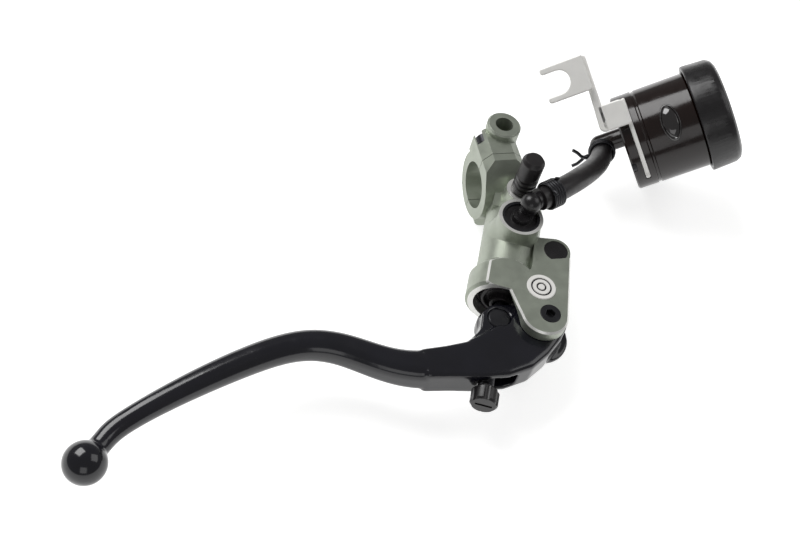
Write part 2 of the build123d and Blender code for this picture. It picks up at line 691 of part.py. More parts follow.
# ---- reservoir ---------------------------------------------------------------------------------
def reservoir_body():
    groove_high = tank_flange + sheet + 0.3
    thread_radius = cap_radius - cap_wall - 0.6
    body = turned(tank_frame, [
        (0, 0), (tank_radius - 0.8, 0), (tank_radius, 0.8), (tank_radius, 10.2),
        (tank_radius - 0.5, 10.6), (tank_radius - 0.5, 11.6), (tank_radius, 12.0),
        (tank_radius, tank_height - 2),
        (thread_radius - 0.9, tank_height - 1.4), (thread_radius - 0.9, tank_height + 9.0),
        (tank_radius - tank_wall, tank_height + 9.0), (tank_radius - tank_wall, groove_high + 2.4),
        (tank_neck_radius - 3.0, groove_high + 2.4), (tank_neck_radius - 3.0, 2.4), (0, 2.4)])
    slot = block(tank_frame, (bracket_back - 0.5, 40),
                 (-bracket_half_width - 0.3, bracket_half_width + 0.3), (tank_flange, groove_high))
    body -= slot - drum(tank_frame, tank_neck_radius, 0, groove_high + 1)
    leg = Plane(origin=tank_corner, z_dir=tank_axis)
    body += drum(leg, tank_leg_radius, 0, tank_leg + 0.5)
    body += Pos(*tank_corner) * Sphere(tank_leg_radius)
    body += drum(outlet_frame, hose_radius - 0.6, 0, hose_end_gap - 0.1)
    body += drum(outlet_frame, spigot_radius, 0, tank_spigot_reach)
    body -= drum(leg, spigot_bore_radius, 0, tank_leg + 4)
    body -= drum(outlet_frame, spigot_bore_radius, 0, tank_spigot_reach + 1)
    for y in bracket_screw_places():
        body -= drum(screw_frame(y), 1.7, -1, tank_flange + 1)
        body -= drum(screw_frame(y), 3.2, -1, 2.2)
    return body


def bracket_screw_places():
    return (-12.0, 12.0)


def screw_frame(y):
    return Plane(origin=in_tank(17.6, y, 0), x_dir=tank_front, z_dir=tank_axis)


def bracket_screws():
    screws = []
    for y in bracket_screw_places():
        screw = drum(screw_frame(y), 3.0, 0.3, 2.2) + drum(screw_frame(y), 1.5, 1, tank_flange + 2)
        screws.append(screw - block(screw_frame(y), (-0.5, 0.5), (-2.4, 2.4), (-1, 1.2)))
    return Compound(screws)


def reservoir_bracket():
    """Slotted plate round the reservoir's neck, tab, riser and fork, all of one thickness."""
    low = tank_flange + 0.1
    high = low + sheet
    plate = block(tank_frame, (bracket_back, bracket_reach),
                  (-bracket_half_width, bracket_half_width), (low, high))
    plate -= drum(tank_frame, tank_neck_radius + 0.3, low - 1, high + 1)
    plate -= block(tank_frame, (-40, 0), (-tank_neck_radius - 0.3, tank_neck_radius + 0.3),
                   (low - 1, high + 1))
    for y in bracket_screw_places():
        plate -= drum(screw_frame(y), 1.5, low - 1, high + 1)
    front = (bracket_reach - sheet, bracket_reach)
    tab_side = (-bracket_half_width, -bracket_half_width + tab_width)
    tab = block(tank_frame, front, tab_side, (high - sheet - tab_length, high))
    riser_z = (high - tab_length - sheet, high - tab_length)
    riser_top = -bracket_half_width - riser_length
    riser = block(tank_frame, (bracket_reach - sheet, bracket_reach + riser_depth),
                  (riser_top, tab_side[1]), riser_z)
    fork_x = (bracket_reach + riser_depth - sheet, bracket_reach + riser_depth)
    fork_y = (riser_top, riser_top + fork_width)
    fork = block(tank_frame, fork_x, fork_y, (riser_z[1] - fork_length, riser_z[1]))
    slot_middle = (fork_y[0] + fork_y[1]) / 2
    slot_bottom = riser_z[1] - fork_slot_from - fork_slot_width / 2
    slot_frame = Plane(origin=in_tank(0, slot_middle, slot_bottom), x_dir=tank_axis,
                       z_dir=tank_front)
    fork -= drum(slot_frame, fork_slot_width / 2, 0, 60)
    fork -= block(tank_frame, (0, 60), (slot_middle - fork_slot_width / 2,
                                        slot_middle + fork_slot_width / 2),
                  (slot_bottom - 40, slot_bottom))
    cut_away = block(tank_frame, (bracket_reach + 0.01, 80), (riser_top + fork_width, 60), riser_z)
    return plate + tab + (riser - cut_away) + fork


def reservoir_cap():
    inner = cap_radius - cap_wall
    outline = [(0, cap_top), (cap_radius - 4.2, cap_top), (cap_radius - 1.8, cap_top - 1.2),
               (cap_radius - 0.6, cap_top - 3.6), (cap_radius, cap_skirt_from + 2),
               (cap_radius, cap_skirt_from), (inner, cap_skirt_from),
               (inner, cap_top - cap_wall), (0, cap_top - cap_wall)]
    return turned(tank_frame, outline)


def diaphragm_plate():
    top = cap_top - cap_wall - 0.1
    return pipe(tank_frame, cap_radius - cap_wall - 0.8, 12.0, top - 1.4, top)


def reservoir_diaphragm():
    """Rubber diaphragm: flat rim on the reservoir's edge and two convolutions hanging inside."""
    top = cap_top - cap_wall - 1.6
    rim = tank_height + 9.05
    wall = tank_radius - tank_wall - 1.0
    return turned(tank_frame, [
        (cap_radius - cap_wall - 1.0, top), (cap_radius - cap_wall - 1.0, rim),
        (wall, rim), (wall, rim - 8), (wall - 4, rim - 8), (wall - 4, rim - 3), (wall - 7, rim - 3),
        (wall - 7, rim - 8), (0, rim - 8), (0, rim - 6.8), (wall - 8.2, rim - 6.8),
        (wall - 8.2, rim - 1.8), (wall - 2.8, rim - 1.8), (wall - 2.8, rim - 6.8),
        (wall - 1.2, rim - 6.8), (wall - 1.2, top)])


# ---- write every piece -------------------------------------------------------------------------
pieces = {
    "cylinder_body": cylinder_body,
    "clamp_cap": clamp_cap,
    "clamp_bolts": clamp_bolts,
    "piston": piston,
    "primary_seal": lambda: lip_seal(primary_groove, primary_groove_radius, -1),
    "secondary_seal": lambda: lip_seal(secondary_groove, secondary_groove_radius, -1),
    "return_spring": return_spring,
    "stop_washer": stop_washer,
    "retaining_ring": retaining_ring,
    "dust_boot": dust_boot,
    "pushrod": pushrod,
    "adjuster_knob": adjuster_knob,
    "barrel_nut": barrel_nut,
    "lever": lever,
    "pivot_bush": pivot_bush,
    "pivot_bolt": pivot_bolt,
    "pivot_nut": pivot_nut,
    "badge_disc": badge_disc,
    "outlet_plug": outlet_plug,
    "bleed_screw": bleed_screw,
    "bleed_cap": bleed_cap,
    "feed_elbow": feed_elbow,
    "feed_seal": feed_seal,
    "feed_circlip": feed_circlip,
    "feed_hose": feed_hose,
    "hose_clip_lower": hose_clip_lower,
    "hose_clip_upper": hose_clip_upper,
    "reservoir_body": reservoir_body,
    "reservoir_bracket": reservoir_bracket,
    "bracket_screws": bracket_screws,
    "reservoir_cap": reservoir_cap,
    "diaphragm_plate": diaphragm_plate,
    "reservoir_diaphragm": reservoir_diaphragm,
}

os.makedirs("parts", exist_ok=True)
for node, make in pieces.items():
    export_step(make(), "parts/" + node + ".step")
print("hose bend radii", hose_bends, "length", FilletPolyline(*hose_points, radius=hose_bends).length)
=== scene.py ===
import math

import bmesh
import bpy
from mathutils import Matrix, Vector


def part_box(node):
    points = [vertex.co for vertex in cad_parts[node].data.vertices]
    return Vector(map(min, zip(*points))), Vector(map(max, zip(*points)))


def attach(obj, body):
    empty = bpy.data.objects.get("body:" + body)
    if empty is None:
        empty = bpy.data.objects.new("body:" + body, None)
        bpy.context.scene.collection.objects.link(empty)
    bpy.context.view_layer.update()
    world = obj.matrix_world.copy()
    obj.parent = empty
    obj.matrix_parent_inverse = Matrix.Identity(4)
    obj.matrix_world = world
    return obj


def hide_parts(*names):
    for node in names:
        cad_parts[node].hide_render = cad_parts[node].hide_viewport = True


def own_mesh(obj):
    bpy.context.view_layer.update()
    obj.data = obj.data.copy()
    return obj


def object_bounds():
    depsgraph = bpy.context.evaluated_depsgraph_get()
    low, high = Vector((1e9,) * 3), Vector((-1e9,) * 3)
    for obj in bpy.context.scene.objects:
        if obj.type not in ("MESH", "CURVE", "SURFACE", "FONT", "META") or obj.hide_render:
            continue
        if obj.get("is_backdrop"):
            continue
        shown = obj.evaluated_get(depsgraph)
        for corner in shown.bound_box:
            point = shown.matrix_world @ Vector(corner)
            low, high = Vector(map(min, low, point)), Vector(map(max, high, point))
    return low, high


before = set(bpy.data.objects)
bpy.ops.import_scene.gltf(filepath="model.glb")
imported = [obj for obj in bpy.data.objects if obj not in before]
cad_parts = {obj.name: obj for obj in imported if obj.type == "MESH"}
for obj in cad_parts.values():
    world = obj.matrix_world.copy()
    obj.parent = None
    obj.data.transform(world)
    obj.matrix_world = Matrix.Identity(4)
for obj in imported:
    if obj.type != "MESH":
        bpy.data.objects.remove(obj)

bl_info = {
    "name": "Radial brake master cylinder",
    "version": (1, 0, 0),
    "blender": (4, 5, 0),
    "location": "View3D > Sidebar > Brake unit",
    "description": "Builds the visual pieces of a radial brake master cylinder on its frame",
    "category": "Object",
}

MM = 0.001
UP = Vector((0.0, 0.0, 1.0))

# corners this close are one corner, and faces this nearly in line are one face
WELD = 0.002 * MM
SLIVER = 0.001 * MM
SAME_PLANE = math.radians(0.4)

# a face is taken as flat above this area, and above this share of its reach squared
FLAT_AREA = 14.0 * MM * MM
FLAT_SHARE = 0.12

# feed hose: from the reservoir outlet to the elbow on the case
HOSE_ROUTE = ((-0.06190, -0.01716, 0.00116), (-0.05844, -0.00655, 0.00529),
              (-0.02371, 0.02441, 0.02600), (-0.00610, 0.03153, 0.02600))
HOSE_DIAMETER = 0.0103
ELBOW_HEADING = math.radians(202.0)
ELBOW_DIRECTION = Vector((math.cos(ELBOW_HEADING), math.sin(ELBOW_HEADING), 0.0))

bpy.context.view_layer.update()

# the piston line: foot of the lever pivot on the bore axis, and its direction
PISTON_ANGLE = math.radians(23.6)
PISTON_AXIS = Vector((math.sin(PISTON_ANGLE), math.cos(PISTON_ANGLE), 0.0))
PISTON_SIDE = Vector((PISTON_AXIS.y, -PISTON_AXIS.x, 0.0))
PIVOT = Vector((0.95, 82.96, 0.0)) * MM
LEVER_ARM = 20.0 * MM
PISTON_FOOT = PIVOT + PISTON_SIDE * LEVER_ARM

# the reservoir line: centre of its floor, its axis towards the cap, its front and its side
TANK_BASE = Vector((-73.9, -17.9, 3.6)) * MM
TANK_ELEVATION = math.radians(31.8)
TANK_AZIMUTH = math.radians(175.2)
TANK_ROLL = math.radians(125.9)
TANK_AXIS = Vector((math.cos(TANK_ELEVATION) * math.cos(TANK_AZIMUTH),
                    math.cos(TANK_ELEVATION) * math.sin(TANK_AZIMUTH),
                    math.sin(TANK_ELEVATION)))
TANK_LEVEL = UP.cross(TANK_AXIS).normalized()
TANK_FRONT = (TANK_LEVEL * math.cos(TANK_ROLL)
              + TANK_AXIS.cross(TANK_LEVEL) * math.sin(TANK_ROLL))
TANK_ACROSS = TANK_AXIS.cross(TANK_FRONT)
TANK_RADIUS = 23.75

# round wire: its facets, and any fixed side that no wire runs along
WIRE_SIDES = 12
WIRE_SIDE = Vector((0.31, 0.2, 0.93))

# cut faces of the casting, in millimetres along and beside the piston line or in the frame
MOUTH_RIM_SPAN = (-8.2, -6.6)
MOUTH_RIM_REACH = 17.0
MOUTH_BORE_SPAN = (-17.2, -6.4)
MOUTH_BORE_RADII = (11.0, 13.6)
FEED_RIM_HEIGHT = 20.0
FEED_RIM_SLACK = 0.4
BLEEDER_SPOT = Vector((-4.3, 18.4, 17.0))
BLEEDER_SPOT_RADIUS = 8.4
BLEEDER_SPOT_SLACK = 0.3
EAR_CHAMFER_HEIGHT = 12.6
EAR_CHAMFER_SLACK = 0.35
EAR_FROM = 40.0
SQUARE_ON = 0.98

# studio
FLOOR_HALF = 12.0
FLOOR_DROP = 6.0 * MM
FLOOR_COLOUR = (0.86, 0.86, 0.855, 1.0)
FLOOR_GLOW = 0.64
SKY_LEVEL = 0.24
LIGHT_TARGET = (0.03, 0.05, 0.0)
LIGHTS = (("key_light", (0.50, -0.55, 0.90), 0.7, 9.0),
          ("fill_light", (-0.75, 0.10, 0.80), 0.7, 2.2),
          ("front_light", (0.35, 1.10, 0.50), 0.6, 1.2))
CAMERA_LENS = 49.43
CAMERA_SENSOR = 36.0
CAMERA_NEAR = 0.01
CAMERA_PLACE = Vector((188.29, 309.50, 380.17)) * MM
CAMERA_RIGHT = Vector((-0.95903659, 0.21801954, 0.1808765))
CAMERA_ABOVE = Vector((-0.07232419, -0.80578373, 0.587777))
CAMERA_BEHIND = Vector((0.27389421, 0.5506179, 0.78854416))


# ---- sizes and colours a user would change -----------------------------------------------------
def colour(name, description, default):
    """Colour property with its default."""
    return bpy.props.FloatVectorProperty(name=name, description=description, default=default,
                                         subtype="COLOR", size=3, min=0.0, max=1.0)


def length(name, description, default):
    """Length property in metres."""
    return bpy.props.FloatProperty(name=name, description=description, default=default,
                                   min=0.0, subtype="DISTANCE", unit="LENGTH", precision=5)


def share(name, description, default):
    """Plain share between 0 and 1."""
    return bpy.props.FloatProperty(name=name, description=description, default=default,
                                   min=0.0, max=1.0, subtype="FACTOR")


class FinishSettings(bpy.types.PropertyGroup):
    """Colours and gloss of the finishes."""

    cast_colour: colour("Casting", "Anodised casting colour", (0.355, 0.385, 0.325))
    cast_roughness: share("Casting roughness", "Roughness of the satin casting", 0.40)
    machined_colour: colour("Machined rims", "Freshly cut aluminium", (0.86, 0.86, 0.83))
    # the lever's faint blue tint is a painted reflection
    lever_colour: colour("Lever", "Gloss coating of the lever", (0.006, 0.006, 0.010))
    lever_roughness: share("Lever roughness", "Roughness of the lever's coating", 0.17)
    # near-white steel: the plating's own pale colour together with a painted reflection of bright
    # surroundings
    steel_colour: colour("Bright steel", "Plated steel of bracket and bolts", (0.90, 0.89, 0.86))
    dark_steel_colour: colour("Black steel", "Black oxide steel", (0.030, 0.030, 0.034))
    plastic_colour: colour("Moulded plastic", "Black moulded plastic", (0.010, 0.009, 0.010))
    rubber_colour: colour("Rubber", "Hose and boot rubber", (0.014, 0.012, 0.013))
    smoke_colour: colour("Reservoir", "Smoke-brown plastic", (0.011, 0.005, 0.004))
    bronze_colour: colour("Bush", "Bearing bronze", (0.55, 0.38, 0.16))


class EdgeSettings(bpy.types.PropertyGroup):
    """Edge rounding and fine sizes."""

    casting_edge: length("Casting edge", "Rounding of the casting's edges", 0.45 * MM)
    steel_edge: length("Steel edge", "Rounding of turned and cut steel", 0.15 * MM)
    lever_grid: length("Lever skin", "Grid of the lever's smoothed skin", 0.5 * MM)
    plastic_edge: length("Plastic edge", "Rounding of moulded edges", 0.3 * MM)
    tine_radius: length("Tine end", "Rounding of the fork's tine ends", 1.4 * MM)


# ---- procedural finishes -----------------------------------------------------------------------
def node(tree, kind, place, **values):
    """Shader node with its plain values set."""
    made = tree.nodes.new(kind)
    made.location = place
    for name, value in values.items():
        setattr(made, name, value)
    return made


def finish(name, base, roughness, metallic=0.0, mottle=0.12, mottle_scale=90.0, grain=0.05,
           grain_scale=2600.0, gloss_spread=0.08, coat=0.0, transmission=0.0, specular=0.5):
    """Procedural finish with mottled colour, uneven gloss and fine grain."""
    found = bpy.data.materials.get(name)
    if found:
        return found
    material = bpy.data.materials.new(name)
    material.use_nodes = True
    tree = material.node_tree
    links = tree.links
    shader = tree.nodes["Principled BSDF"]
    shader.inputs["Metallic"].default_value = metallic
    shader.inputs["Coat Weight"].default_value = coat
    shader.inputs["Coat Roughness"].default_value = 0.06
    shader.inputs["Transmission Weight"].default_value = transmission
    shader.inputs["Specular IOR Level"].default_value = specular
    place = node(tree, "ShaderNodeTexCoord", (-1300, 0))
    patches = node(tree, "ShaderNodeTexNoise", (-900, 200))
    patches.inputs["Scale"].default_value = mottle_scale
    patches.inputs["Detail"].default_value = 6.0
    patches.inputs["Roughness"].default_value = 0.6
    links.new(place.outputs["Object"], patches.inputs["Vector"])
    ramp = node(tree, "ShaderNodeValToRGB", (-700, 250))
    low = [channel * (1.0 - mottle) for channel in base]
    high = [min(1.0, channel * (1.0 + mottle)) for channel in base]
    ramp.color_ramp.elements[0].position = 0.3
    ramp.color_ramp.elements[0].color = (*low, 1.0)
    ramp.color_ramp.elements[1].position = 0.7
    ramp.color_ramp.elements[1].color = (*high, 1.0)
    links.new(patches.outputs["Fac"], ramp.inputs["Fac"])
    links.new(ramp.outputs["Color"], shader.inputs["Base Color"])
    smears = node(tree, "ShaderNodeTexNoise", (-900, -100))
    smears.inputs["Scale"].default_value = mottle_scale * 2.3
    smears.inputs["Detail"].default_value = 8.0
    links.new(place.outputs["Object"], smears.inputs["Vector"])
    gloss = node(tree, "ShaderNodeMapRange", (-650, -100))
    gloss.inputs["From Min"].default_value = 0.3
    gloss.inputs["From Max"].default_value = 0.7
    gloss.inputs["To Min"].default_value = max(0.02, roughness - gloss_spread)
    gloss.inputs["To Max"].default_value = min(1.0, roughness + gloss_spread)
    links.new(smears.outputs["Fac"], gloss.inputs["Value"])
    links.new(gloss.outputs["Result"], shader.inputs["Roughness"])
    grains = node(tree, "ShaderNodeTexNoise", (-900, -400))
    grains.inputs["Scale"].default_value = grain_scale
    grains.inputs["Detail"].default_value = 3.0
    links.new(place.outputs["Object"], grains.inputs["Vector"])
    relief = node(tree, "ShaderNodeBump", (-400, -400))
    relief.inputs["Strength"].default_value = grain
    relief.inputs["Distance"].default_value = 0.0002
    links.new(grains.outputs["Fac"], relief.inputs["Height"])
    links.new(relief.outputs["Normal"], shader.inputs["Normal"])
    return material


def casting():
    """Satin anodised casting."""
    settings = bpy.context.scene.brake_finish
    return finish("satin_casting", settings.cast_colour, settings.cast_roughness, metallic=0.75,
                  mottle=0.07, mottle_scale=70.0, grain=0.22, grain_scale=2400.0,
                  gloss_spread=0.07)


def painted_edge_highlight():
    """Pale metal colour along the casting's rounded edges, a painted edge highlight."""
    return finish("casting_painted_edge_highlight", (0.70, 0.71, 0.65), 0.30, metallic=0.7, mottle=0.12,
                  mottle_scale=120.0, grain=0.10, grain_scale=1800.0, gloss_spread=0.06)


def machined():
    """Freshly cut aluminium."""
    settings = bpy.context.scene.brake_finish
    return finish("machined_aluminium", settings.machined_colour, 0.34, metallic=0.7, mottle=0.04,
                  grain=0.05, grain_scale=700.0, gloss_spread=0.05)


def lever_gloss():
    """Gloss black coating, tinted faintly blue as a painted reflection."""
    settings = bpy.context.scene.brake_finish
    return finish("lever_gloss_black", settings.lever_colour, settings.lever_roughness,
                  mottle=0.25, mottle_scale=55.0, grain=0.05, grain_scale=1500.0,
                  gloss_spread=0.05, coat=0.3, specular=0.45)


def bright_steel():
    """Pale plated steel, near-white and mostly diffuse: partly its own pale colour, partly a
    painted reflection of bright surroundings.
    """
    settings = bpy.context.scene.brake_finish
    return finish("bright_plated_steel", settings.steel_colour, 0.40, metallic=0.15, mottle=0.05,
                  mottle_scale=60.0, grain=0.04, grain_scale=900.0, gloss_spread=0.07)


def dark_steel():
    """Black oxide steel."""
    settings = bpy.context.scene.brake_finish
    return finish("black_oxide_steel", settings.dark_steel_colour, 0.33, metallic=0.6,
                  mottle=0.2, grain=0.10)


def moulded():
    """Black moulded plastic."""
    settings = bpy.context.scene.brake_finish
    return finish("moulded_black_plastic", settings.plastic_colour, 0.30, mottle=0.12,
                  grain=0.05, grain_scale=1900.0, gloss_spread=0.08, specular=0.5)


def rubber():
    """Black rubber."""
    settings = bpy.context.scene.brake_finish
    return finish("black_rubber", settings.rubber_colour, 0.40, mottle=0.18, grain=0.16,
                  grain_scale=2300.0, gloss_spread=0.08, specular=0.42)


def smoke():
    """Smoke-brown reservoir plastic."""
    settings = bpy.context.scene.brake_finish
    return finish("smoke_brown_plastic", settings.smoke_colour, 0.15, mottle=0.20, grain=0.03,
                  grain_scale=900.0, gloss_spread=0.05, transmission=0.10, coat=0.1, specular=0.4)


def sight():
    """Clear-coated dark window."""
    return finish("sight_window", (0.012, 0.010, 0.010), 0.08, mottle=0.1, grain=0.01,
                  grain_scale=900.0, gloss_spread=0.02, coat=1.0)


def bronze():
    """Bearing bronze."""
    settings = bpy.context.scene.brake_finish
    return finish("bearing_bronze", settings.bronze_colour, 0.35, metallic=1.0, grain=0.1)


# ---- making pieces -----------------------------------------------------------------------------
def placed(origin, axis, side=None):
    """Matrix whose z runs along an axis and whose x leans towards side."""
    z = Vector(axis).normalized()
    x = Vector(side) if side else z.orthogonal()
    x = (x - z * x.dot(z)).normalized()
    y = z.cross(x)
    matrix = Matrix((x, y, z)).transposed().to_4x4()
    matrix.translation = origin
    return matrix


def in_tank(front, side, height):
    """Point given in millimetres in the reservoir's own frame."""
    return TANK_BASE + (TANK_FRONT * front + TANK_ACROSS * side + TANK_AXIS * height) * MM


def merged_copy(name):
    """Editable copy of a frame node with its loose triangles joined and flat faces cleaned."""
    shape = bmesh.new()
    shape.from_mesh(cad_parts[name].data)
    bmesh.ops.remove_doubles(shape, verts=shape.verts, dist=WELD)
    bmesh.ops.dissolve_degenerate(shape, edges=shape.edges, dist=SLIVER)
    bmesh.ops.dissolve_limit(shape, angle_limit=SAME_PLANE, verts=shape.verts,
                             edges=shape.edges, delimit={"NORMAL"})
    return shape


def is_flat(face):
    """True for a broad flat face, and not for a long strip of a curved surface."""
    start = face.verts[0].co
    reach = max((vert.co - start).length for vert in face.verts)
    return face.calc_area() > max(FLAT_AREA, FLAT_SHARE * reach ** 2)


def show(name, shape, materials, body, slot, replaced, edge=0.0, edge_angle=32.0, level=True,
         edge_material=-1):
    """Turn a bmesh into a finished piece that rides on its body and replaces the named nodes.

    level lights broad flat faces evenly. edge rounds corners sharper than edge_angle degrees.
    """
    sharp = math.radians(edge_angle)
    for face in shape.faces:
        face.smooth = not (level and is_flat(face))
    for seam in shape.edges:
        seam.smooth = len(seam.link_faces) == 2 and seam.calc_face_angle(math.pi) < sharp
    mesh = bpy.data.meshes.new(name)
    shape.to_mesh(mesh)
    shape.free()
    piece = bpy.data.objects.new(name, mesh)
    bpy.context.scene.collection.objects.link(piece)
    for material in materials:
        mesh.materials.append(material)
    if edge > 0:
        bevel = piece.modifiers.new("edge", "BEVEL")
        bevel.width = edge
        bevel.segments = 2
        bevel.limit_method = "ANGLE"
        bevel.angle_limit = sharp
        bevel.material = edge_material
    if level:
        shading = piece.modifiers.new("shading", "WEIGHTED_NORMAL")
        shading.keep_sharp = True
        shading.weight = 60
    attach(piece, body)
    if replaced:
        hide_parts(*replaced)
    return piece


def copy_piece(node_name, body, slot, material, edge, **extra):
    """Finished piece straight from its frame node."""
    return show(node_name + "_finish", merged_copy(node_name), [material], body, slot,
                [node_name], edge, **extra)


def turned(shape, matrix, profile, steps=64):
    """Spin an outline of (radius, height) pairs in millimetres about the matrix's z axis."""
    verts = [shape.verts.new(matrix @ Vector((radius * MM, 0.0, height * MM)))
             for radius, height in profile]
    edges = [shape.edges.new(pair) for pair in zip(verts, verts[1:])]
    axis = matrix.to_3x3() @ UP
    before = len(shape.faces)
    bmesh.ops.spin(shape, geom=verts + edges, cent=matrix.translation, axis=axis,
                   angle=2 * math.pi, steps=steps, use_merge=True)
    shape.faces.ensure_lookup_table()
    fresh = shape.faces[before:]
    bmesh.ops.remove_doubles(shape, verts=list({v for face in fresh for v in face.verts}),
                             dist=SLIVER)
    return shape


def closed_profile(profile):
    """Outline that returns to its first corner."""
    return profile + profile[:1]


def wire_ring(shape, matrix, radius, wire, height):
    """One closed turn of round wire."""
    angles = [2 * math.pi * turn / WIRE_SIDES for turn in range(WIRE_SIDES)]
    outline = [(radius + wire * math.cos(angle), height + wire * math.sin(angle))
               for angle in angles]
    return turned(shape, matrix, closed_profile(outline), steps=72)


def bent_wire(shape, points, wire):
    """Round wire along a few points, closed at both ends."""
    rings = []
    for index, point in enumerate(points):
        before = points[max(index - 1, 0)]
        after = points[min(index + 1, len(points) - 1)]
        matrix = placed(point, after - before, WIRE_SIDE)
        made = bmesh.ops.create_circle(shape, segments=WIRE_SIDES, radius=wire * MM,
                                       matrix=matrix, cap_ends=False)
        rings.append(made["verts"])
    for low, high in zip(rings, rings[1:]):
        edges = [edge for ring in (low, high) for vert in ring for edge in vert.link_edges
                 if edge.other_vert(vert) in ring]
        bmesh.ops.bridge_loops(shape, edges=list(set(edges)))
    for ring in (rings[0], rings[-1]):
        shape.faces.new(ring)
    return shape


def outward(shape):
    """Turn every face outwards."""
    bmesh.ops.recalc_face_normals(shape, faces=shape.faces)
    return shape


# ---- the case ----------------------------------------------------------------------------------
def is_cut_face(face):
    """True on the casting's cut faces: mouth, feed rim, bleeder spot face and ear chamfer."""
    centre = face.calc_center_median()
    normal = face.normal
    offset = centre - PISTON_FOOT
    along = offset.dot(PISTON_AXIS) / MM
    beside = (offset - PISTON_AXIS * offset.dot(PISTON_AXIS)).length / MM
    facing = abs(normal.dot(PISTON_AXIS))
    place = centre / MM
    level = normal.z > SQUARE_ON
    from_bleeder = place - BLEEDER_SPOT
    mouth_rim = (facing > SQUARE_ON and MOUTH_RIM_SPAN[0] < along < MOUTH_RIM_SPAN[1]
                 and beside < MOUTH_RIM_REACH)
    mouth_bore = (facing < 0.8 and MOUTH_BORE_SPAN[0] < along < MOUTH_BORE_SPAN[1]
                  and MOUTH_BORE_RADII[0] < beside < MOUTH_BORE_RADII[1])
    feed_rim = level and abs(place.z - FEED_RIM_HEIGHT) < FEED_RIM_SLACK
    bleeder = (level and abs(from_bleeder.z) < BLEEDER_SPOT_SLACK
               and from_bleeder.to_2d().length < BLEEDER_SPOT_RADIUS)
    chamfer = (0.5 < normal.z < 0.95 and place.y > EAR_FROM
               and abs(place.z - EAR_CHAMFER_HEIGHT) < EAR_CHAMFER_SLACK)
    return mouth_rim or mouth_bore or feed_rim or bleeder or chamfer


class BRAKE_OT_case(bpy.types.Operator):
    """Casting and clamp cap with their machined faces"""

    bl_idname = "brake.case"
    bl_label = "Case and clamp cap"

    def execute(self, context):
        edges = context.scene.brake_edges
        for name in ("cylinder_body", "clamp_cap"):
            shape = merged_copy(name)
            for face in shape.faces:
                face.material_index = 1 if is_cut_face(face) else 0
            # the casting's rounded edges take the pale painted edge highlight
            show(name + "_finish", shape, [casting(), machined(), painted_edge_highlight()], "case", "case",
                 [name], edges.casting_edge, edge_material=2)
        return {"FINISHED"}


class BRAKE_OT_badge(bpy.types.Operator):
    """Plain turned disc let into the ear"""

    bl_idname = "brake.badge"
    bl_label = "Plain disc"

    def execute(self, context):
        low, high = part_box("badge_disc")
        centre = (low + high) / 2
        radius = (high.x - low.x) / 2 / MM
        height = (high.z - low.z) / 2 / MM
        matrix = placed(centre, UP)
        chamfer, groove = 0.3, height - 0.35
        profile = [(0, -height), (radius, -height), (radius, height - chamfer),
                   (radius - chamfer, height)]
        for outer, inner in ((4.75, 3.8), (2.35, 1.4)):
            profile += [(outer, height), (outer - 0.15, groove), (inner + 0.15, groove),
                        (inner, height)]
        profile.append((0, height))
        shape = outward(turned(bmesh.new(), matrix, profile, steps=96))
        # groove floors take black steel: painted shade in the grooves
        for face in shape.faces:
            level = (face.calc_center_median() - centre).z / MM
            face.material_index = int(abs(level - groove) < 0.05 and face.normal.z > 0.9)
        show("badge_disc_finish", shape, [bright_steel(), dark_steel()], "case", "badge",
             ["badge_disc"])
        return {"FINISHED"}


class BRAKE_OT_fasteners(bpy.types.Operator):
    """Bolts, nut and screws"""

    bl_idname = "brake.fasteners"
    bl_label = "Fasteners"

    def execute(self, context):
        edge = context.scene.brake_edges.steel_edge
        for name, slot, material in (("clamp_bolts", "black_steel", dark_steel()),
                                     ("bracket_screws", "steel", dark_steel()),
                                     ("bleed_screw", "steel", bright_steel()),
                                     ("pivot_bolt", "black_steel", dark_steel()),
                                     ("pivot_nut", "black_steel", dark_steel())):
            copy_piece(name, "case", slot, material, edge)
        return {"FINISHED"}


# ---- lever and pushrod -------------------------------------------------------------------------
class BRAKE_OT_lever(bpy.types.Operator):
    """Gloss black lever with its pivot bush"""

    bl_idname = "brake.lever"
    bl_label = "Lever"

    def execute(self, context):
        lever = copy_piece("lever", "lever", "lever", lever_gloss(), 0.0, edge_angle=180.0,
                           level=False)
        skin = lever.modifiers.new("skin", "REMESH")
        skin.mode = "VOXEL"
        skin.voxel_size = context.scene.brake_edges.lever_grid
        skin.use_smooth_shade = True
        soft = lever.modifiers.new("soft", "SMOOTH")
        soft.factor = 0.5
        soft.iterations = 16
        copy_piece("pivot_bush", "lever", "bronze", bronze(), 0.0)
        return {"FINISHED"}


class BRAKE_OT_pushrod(bpy.types.Operator):
    """Threaded pushrod, its knob and the barrel nut"""

    bl_idname = "brake.pushrod"
    bl_label = "Pushrod and adjuster"

    thread_pitch: bpy.props.FloatProperty(name="Thread pitch", description="Pitch in millimetres",
                                          default=1.0, min=0.2)

    def execute(self, context):
        edge = context.scene.brake_edges.steel_edge
        matrix = placed(PISTON_FOOT, PISTON_AXIS)
        pitch = self.thread_pitch
        ball_radius, ball_at = 3.1, -21.0
        crest, root = 2.95, 2.6
        thread_end, rod_end = 36.6, 38.0
        profile = [(0.0, ball_at - ball_radius)]
        for step in range(1, 10):
            angle = math.radians(-90 + 16.0 * step)
            profile.append((ball_radius * math.cos(angle),
                            ball_at + ball_radius * math.sin(angle)))
        profile += [(2.1, -18.7), (2.3, -18.2), (2.3, -5.8), (2.55, -5.6)]
        height = -5.4
        while height < thread_end:
            profile += [(crest, height + pitch * 0.25), (crest, height + pitch * 0.4),
                        (root, height + pitch * 0.75), (root, height + pitch)]
            height += pitch
        profile += [(root, rod_end), (0.0, rod_end)]
        shape = turned(bmesh.new(), matrix, profile, steps=48)
        show("pushrod_finish", outward(shape), [dark_steel()], "pushrod", "black_steel",
             ["pushrod"])
        copy_piece("adjuster_knob", "pushrod", "hard_black", moulded(), edge * 2)
        copy_piece("barrel_nut", "barrel_nut", "black_steel", dark_steel(), edge)
        return {"FINISHED"}


